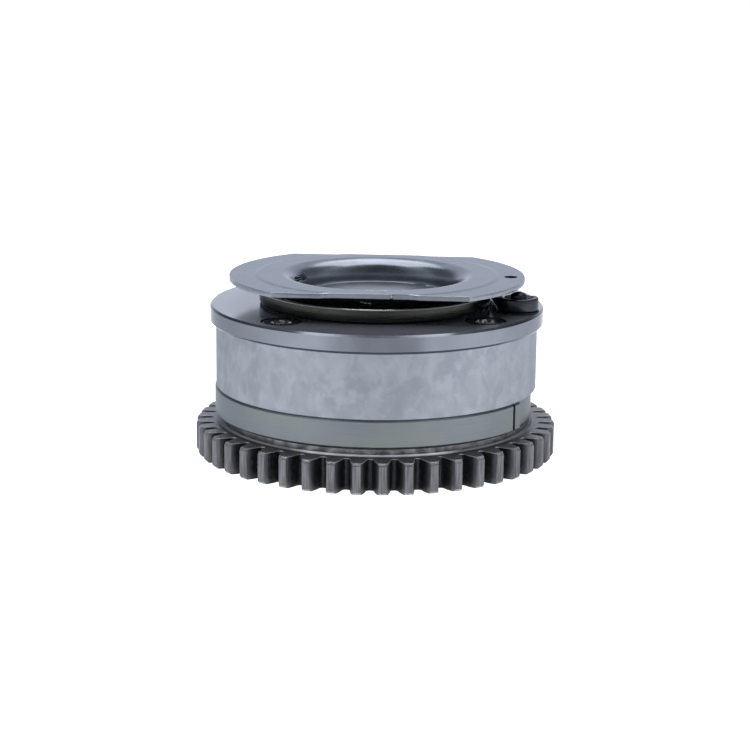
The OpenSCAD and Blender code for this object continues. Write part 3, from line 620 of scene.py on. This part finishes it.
def strip_mesh(name, path, low, high, shrunk=0):
    """Sweeps the strip's section along a path; its first points may be drawn in to lie inside a lap."""
    mesh = bmesh.new()
    rings = []
    for i, here in enumerate(path):
        along = path[min(i + 1, len(path) - 1)] - path[max(i - 1, 0)]
        across = Vector((-along.y, along.x)).normalized()
        scale = LAP_SHRINK if i < shrunk else 1.0
        section = strip_section(STRIP_T * scale, (high - low) * scale)
        ring = []
        for offset in section:
            spot = here + across * offset.x
            ring.append(mesh.verts.new((spot.x, spot.y, (low + high) / 2 + offset.y)))
        rings.append(ring)
    for first, second in zip(rings, rings[1:]):
        for i in range(len(first)):
            j = (i + 1) % len(first)
            mesh.faces.new((first[i], first[j], second[j], second[i]))
    mesh.faces.new(list(reversed(rings[0])))
    mesh.faces.new(rings[-1])
    bmesh.ops.recalc_face_normals(mesh, faces=mesh.faces)
    for face in mesh.faces:
        face.smooth = len(face.verts) == 4
    data = bpy.data.meshes.new(name)
    mesh.to_mesh(data)
    mesh.free()
    piece = bpy.data.objects.new(name, data)
    bpy.context.scene.collection.objects.link(piece)
    return piece


def add_spring(material):
    """The spiral in two lapped lengths, so that the inner end can turn with the wheel."""
    low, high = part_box("bias_spring")
    post = plan_middle("spring_post")
    outer_path = list(reversed(hook_points(post))) + spiral_points(SPIRAL_FROM, SPIRAL_SPLIT + SPIRAL_LAP)
    inner_path = spiral_points(SPIRAL_SPLIT - SPIRAL_LAP, SPIRAL_TO) + tang_points()
    lap_points = len(steps(SPIRAL_SPLIT - SPIRAL_LAP, SPIRAL_SPLIT + SPIRAL_LAP, SPIRAL_STEP)) + 1
    outer = strip_mesh("bias_spring_coils", outer_path, low.z, high.z)
    inner = strip_mesh("bias_spring_inner_end", inner_path, low.z, high.z, lap_points)
    for piece, body in ((outer, "housing"), (inner, "rotor")):
        piece.data.materials.append(material)
        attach(piece, body)
        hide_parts("bias_spring")


def add_floor():
    """Plain white floor that fills the picture; its glow differs with the direction from the part."""
    bpy.ops.mesh.primitive_plane_add(size=FLOOR_SIZE, location=(0, 0, CAD_BOX[0].z - FLOOR_GAP))
    floor = bpy.context.object
    floor.name = "floor"
    material = bpy.data.materials.new("floor")
    material.use_nodes = True
    nodes = Nodes(material.node_tree)
    shader = nodes.tree.nodes["Principled BSDF"]
    shader.inputs["Base Color"].default_value = FLOOR_WHITE
    shader.inputs["Roughness"].default_value = FLOOR_ROUGH
    shader.inputs["Specular IOR Level"].default_value = FLOOR_SPECULAR
    shader.inputs["Emission Color"].default_value = (1, 1, 1, 1)
    place = nodes.add("ShaderNodeTexCoord").outputs["Object"]
    split = nodes.add("ShaderNodeSeparateXYZ", {0: place}).outputs
    turn = nodes.turn(split["X"], nodes.math("MULTIPLY", split["Y"], -1.0))
    near_end, far_end = FLOOR_FAR_FROM
    ends = {"Value": nodes.length(place), "From Min": near_end, "From Max": far_end}
    far = nodes.add("ShaderNodeMapRange", ends, interpolation_type="SMOOTHSTEP").outputs["Result"]
    mix = nodes.add("ShaderNodeMixRGB", {
        "Fac": far,
        "Color1": nodes.levels(turn, FLOOR_NEAR_STOPS, -180, 180, smooth=True),
        "Color2": nodes.levels(turn, FLOOR_FAR_STOPS, -180, 180, smooth=True),
    })
    least, most = FLOOR_GLOW
    glow = nodes.add("ShaderNodeMapRange", {"Value": mix.outputs["Color"], "To Min": least, "To Max": most})
    nodes.feed(shader.inputs["Emission Strength"], glow.outputs["Result"])
    floor.data.materials.append(material)


def add_world():
    """Soft sky: one run of greys by height behind the part and a darker one in front and at the sides."""
    world = bpy.data.worlds.new("studio")
    world.use_nodes = True
    nodes = Nodes(world.node_tree)
    place = nodes.add("ShaderNodeTexCoord").outputs["Generated"]
    split = nodes.add("ShaderNodeSeparateXYZ", {0: place}).outputs
    mirrored = [(-around, level) for around, level in reversed(SKY_AROUND_STOPS[1:])]
    around = mirrored + list(SKY_AROUND_STOPS)
    back = nodes.levels(nodes.turn(split["X"], split["Y"]), around, -180, 180, smooth=True)
    mix = nodes.add("ShaderNodeMixRGB", {"Fac": back})
    for stops, socket in ((SKY_FRONT_STOPS, "Color1"), (SKY_BACK_STOPS, "Color2")):
        heights = [(math.sin(math.radians(degrees)), level) for degrees, level in stops]
        nodes.feed(mix.inputs[socket], nodes.levels(split["Z"], heights, 0.0, 1.0, SKY_TINT))
    background = nodes.tree.nodes["Background"]
    background.inputs["Strength"].default_value = SKY_STRENGTH
    nodes.feed(background.inputs["Color"], mix.outputs["Color"])
    bpy.context.scene.world = world


def add_top_light():
    """One wide softbox overhead, a little behind the part."""
    light = bpy.data.lights.new("softbox", "AREA")
    light.shape = "RECTANGLE"
    light.size = BOX_WIDTH
    light.size_y = BOX_DEPTH
    light.energy = BOX_POWER
    lamp = bpy.data.objects.new("softbox", light)
    lamp.location = BOX_PLACE
    lamp.rotation_mode = "QUATERNION"
    middle = (CAD_BOX[0] + CAD_BOX[1]) / 2
    lamp.rotation_quaternion = (middle - BOX_PLACE).to_track_quat("-Z", "Y")
    bpy.context.scene.collection.objects.link(lamp)


def add_camera():
    data = bpy.data.cameras.new("camera")
    data.lens = CAMERA_LENS
    data.sensor_width = CAMERA_SENSOR
    camera = bpy.data.objects.new("camera", data)
    back = Vector((0, -math.cos(CAMERA_ELEVATION), math.sin(CAMERA_ELEVATION)))
    tilt = Matrix.Rotation(math.pi / 2 - CAMERA_ELEVATION, 4, "X")
    roll = Matrix.Rotation(CAMERA_ROLL, 4, "Z")
    camera.matrix_world = Matrix.Translation(CAMERA_AIM + back * CAMERA_DISTANCE) @ tilt @ roll
    bpy.context.scene.collection.objects.link(camera)
    bpy.context.scene.camera = camera
    bpy.context.scene.view_settings.view_transform = "Standard"


materials = dress_nodes()
round_edges()
add_spring(materials["spring_steel"])
add_floor()
add_world()
add_top_light()
add_camera()
